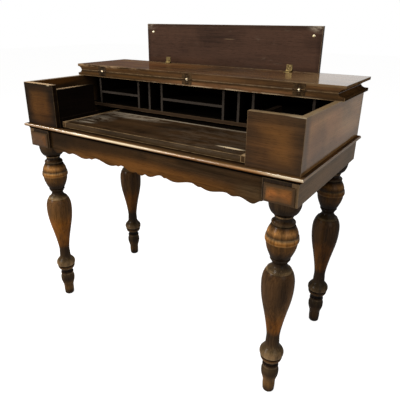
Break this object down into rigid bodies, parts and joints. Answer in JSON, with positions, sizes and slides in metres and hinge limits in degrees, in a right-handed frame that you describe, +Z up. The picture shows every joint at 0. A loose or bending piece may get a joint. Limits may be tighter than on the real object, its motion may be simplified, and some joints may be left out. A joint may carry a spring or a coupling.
{
  "type": "piano desk",
  "caption": "Spinet style writing desk on turned legs, with a lid that folds back, a fall front hinged to the lid, a sliding writing bed, pigeonholes and a scalloped apron.",
  "frame": {"origin": "middle of the object's footprint on the floor", "axes": "+X to the writer's right, +Y from the writer to the back, +Z up"},
  "size_m": [1.025, 0.5254, 1.0385],
  "materials": {
    "leg_wood": "dark stained hardwood, satin, rubbed to orange brown on the rounds",
    "frame_wood": "dark stained hardwood, satin",
    "apron_wood": "stained hardwood, satin, dark towards the edges",
    "moulding_wood": "stained hardwood, glossy rounded nose",
    "inner_wood": "dark stained, dull",
    "side_wood": "stained veneer, satin sheen, scuffed",
    "cheek_wood": "stained veneer, toned dark at the edges",
    "top_wood": "stained veneer, glossy, worn edges",
    "fall_wood": "stained veneer, satin, light scratches",
    "bed_wood": "stained wood, worn writing surface",
    "brass": "aged brass"
  },
  "bodies": {
    "case": {"leg_front_left": "leg_wood", "leg_front_right": "leg_wood", "leg_back_left": "leg_wood", "leg_back_right": "leg_wood", "corner_block_front_left": "frame_wood", "corner_block_front_right": "frame_wood", "corner_block_back_left": "frame_wood", "corner_block_back_right": "frame_wood", "side_rail_left": "frame_wood", "side_rail_right": "frame_wood", "back_rail": "frame_wood", "apron_front": "apron_wood", "corner_plate_left": "apron_wood", "corner_plate_right": "apron_wood", "waist_moulding_front": "moulding_wood", "waist_moulding_left": "moulding_wood", "waist_moulding_right": "moulding_wood", "case_bottom": "inner_wood", "partition_left": "inner_wood", "partition_right": "inner_wood", "bed_guide_left": "inner_wood", "bed_guide_right": "inner_wood", "bed_runner_left": "inner_wood", "bed_runner_right": "inner_wood", "pigeonhole_cleats": "inner_wood", "pigeonhole_base": "inner_wood", "divider_end_left": "inner_wood", "divider_outer_left": "inner_wood", "divider_slot_left": "inner_wood", "divider_middle_left": "inner_wood", "divider_middle_right": "inner_wood", "divider_slot_right": "inner_wood", "divider_outer_right": "inner_wood", "divider_end_right": "inner_wood", "shelf_left": "inner_wood", "shelf_middle": "inner_wood", "shelf_right": "inner_wood", "side_panel_left": "side_wood", "side_panel_right": "side_wood", "back_panel": "side_wood", "front_cheek_left": "cheek_wood", "front_cheek_right": "cheek_wood", "fixed_top": "top_wood", "lid_hinge_top_leaves": "brass", "lid_hinge_pins": "brass", "top_screws": "brass"},
    "lid": {"lid_board": "top_wood", "lid_hinge_lid_leaves": "brass", "fall_hinge_lid_leaves": "brass", "fall_hinge_pins": "brass", "lid_screws": "brass"},
    "fall": {"fall_board": "fall_wood", "fall_hinge_board_leaves": "brass", "fall_screws": "brass", "fall_studs": "brass"},
    "bed": {"writing_board": "bed_wood", "rear_bed_board": "bed_wood", "bed_batten_left": "bed_wood", "bed_batten_right": "bed_wood"}
  },
  "joints": [
    {"name": "lid_fold", "type": "hinge", "parent": "case", "child": "lid", "pos_m": [0, 0.00175, 0.87575], "axis": [1, 0, 0], "range_deg": [0, 180]},
    {"name": "fall_fold", "type": "hinge", "parent": "lid", "child": "fall", "pos_m": [0, 0.23405, 0.8989], "axis": [1, 0, 0], "range_deg": [0, 90]},
    {"name": "bed_slide", "type": "slide", "parent": "case", "child": "bed", "axis": [0, 1, 0], "range_m": [0, 0.15]}
  ]
}
